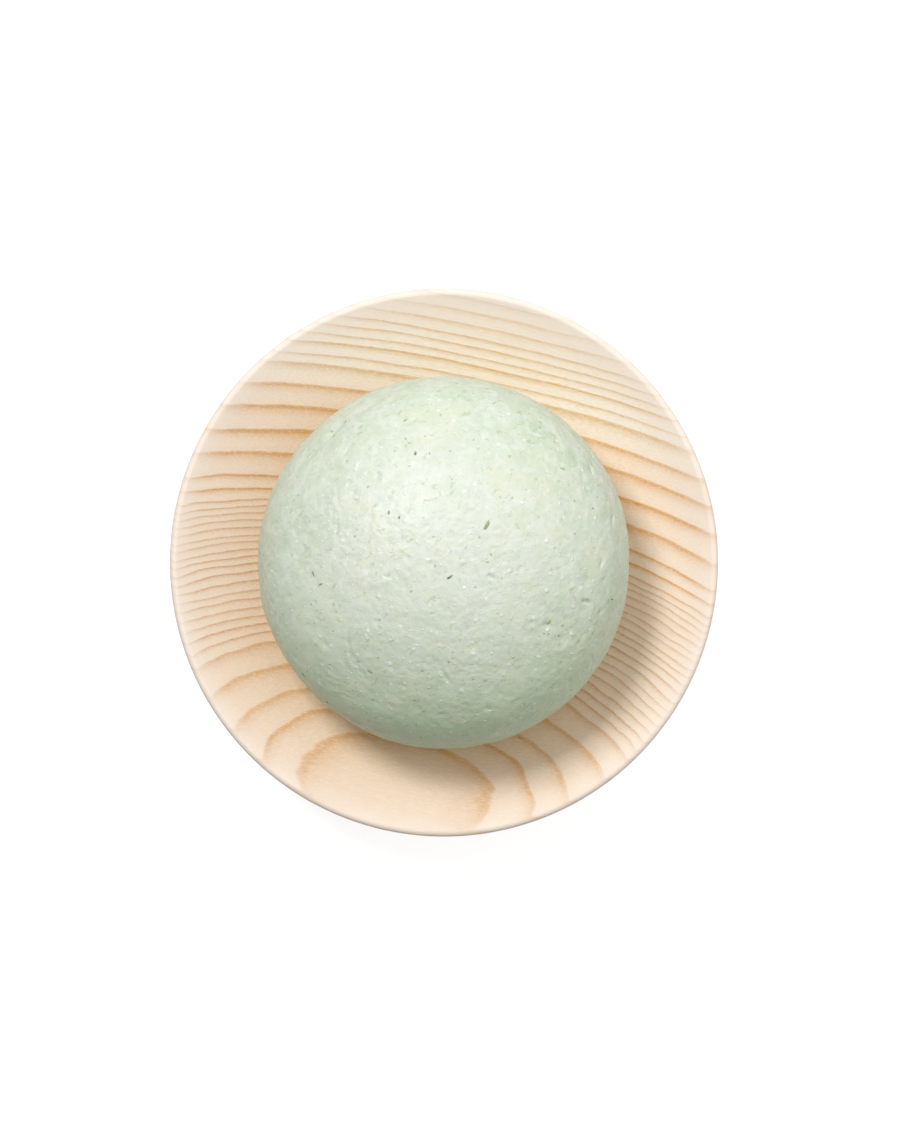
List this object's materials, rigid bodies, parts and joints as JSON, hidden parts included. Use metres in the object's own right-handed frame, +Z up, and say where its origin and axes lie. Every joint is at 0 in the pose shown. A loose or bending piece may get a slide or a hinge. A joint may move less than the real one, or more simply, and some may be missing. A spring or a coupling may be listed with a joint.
{
  "type": "shaving soap puck in a wooden dish",
  "caption": "Rounded hand-moulded shaving soap puck with herb flecks and pale grains, lying loose in a shallow turned wooden dish.",
  "frame": {"origin": "centre of the dish's foot, on the surface that the dish stands on", "axes": "+Z up, along the common axis of the dish and the puck; +X and +Y in the plane of the surface, +Y away from the front"},
  "size_m": [0.1, 0.1, 0.0495],
  "materials": {
    "wood": "satin",
    "soap": "satin",
    "herb": "matte",
    "grain": "matte"
  },
  "bodies": {
    "dish": {"dish": "wood"},
    "puck": {"soap_puck": "soap", "herb_flecks": "herb", "soap_grains": "grain"}
  },
  "joints": [
    {"name": "puck_lift", "type": "slide", "parent": "dish", "child": "puck", "axis": [0, 0, 1], "range_m": [0, 0.06]}
  ]
}
